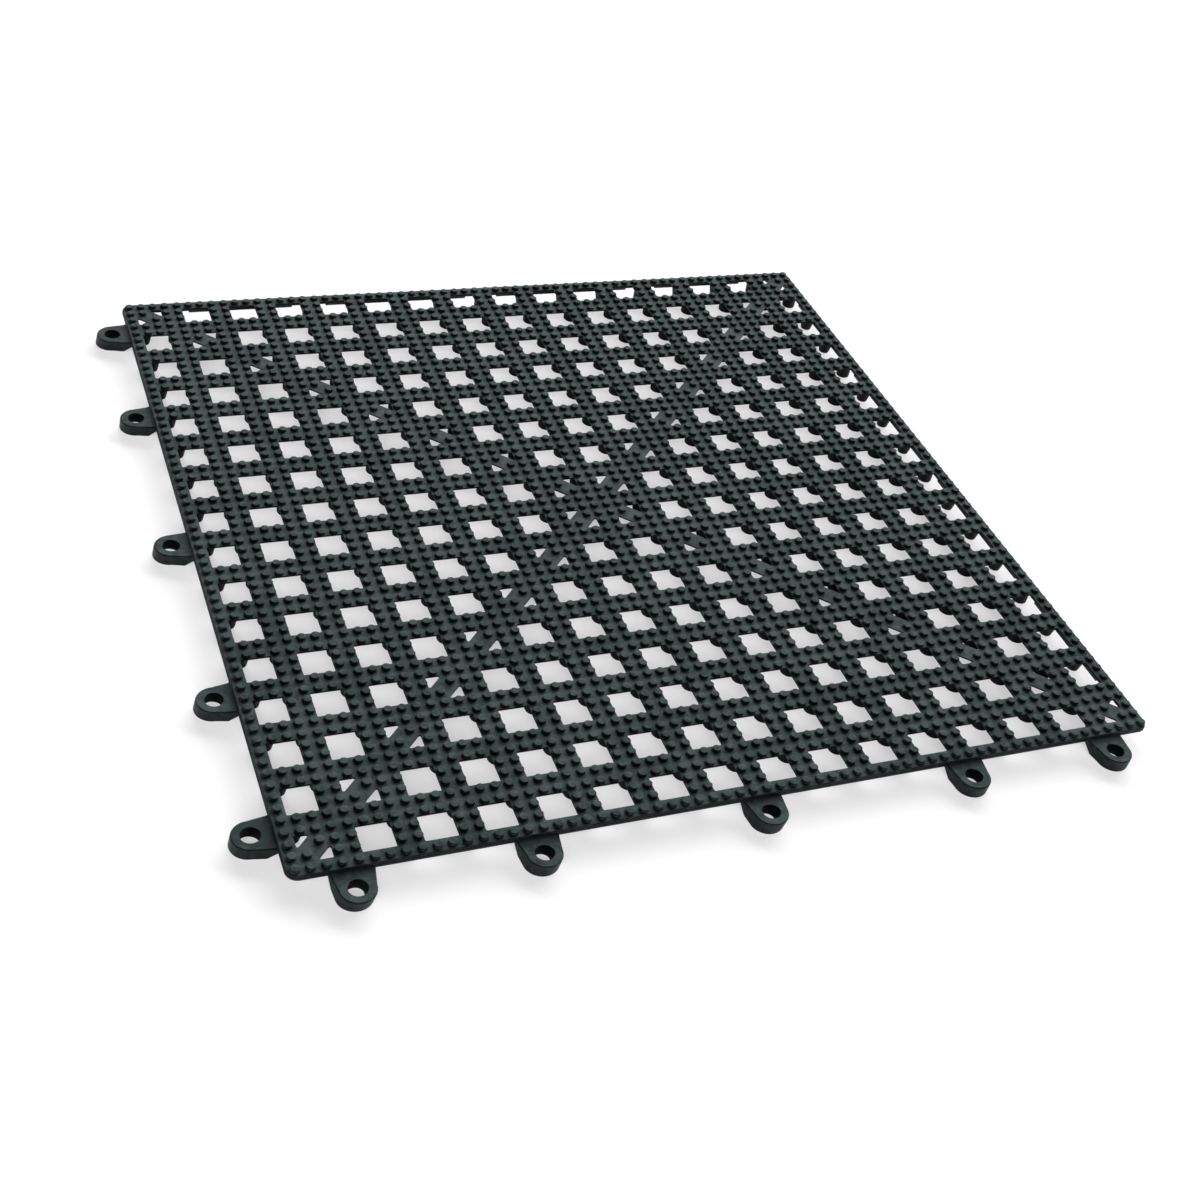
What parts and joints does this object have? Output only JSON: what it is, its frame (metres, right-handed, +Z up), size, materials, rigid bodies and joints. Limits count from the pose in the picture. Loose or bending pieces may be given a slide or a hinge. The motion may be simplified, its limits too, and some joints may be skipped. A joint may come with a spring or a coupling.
{
  "type": "interlocking floor tile",
  "caption": "Flat square interlocking floor tile in dark PVC: open grid deck on short round feet, loops on two sides and pegs on the other two.",
  "frame": {"origin": "on the floor under the tile's centre, at the end of the centre foot", "axes": "+Z up; +X to the right along the front edge; +Y from the front edge to the back edge; the loops stand out to -Y and -X"},
  "size_m": [0.338, 0.338, 0.0063],
  "materials": {
    "pvc": "matte, fine grain, as moulded"
  },
  "bodies": {
    "root": {"tile": "pvc"}
  },
  "joints": []
}
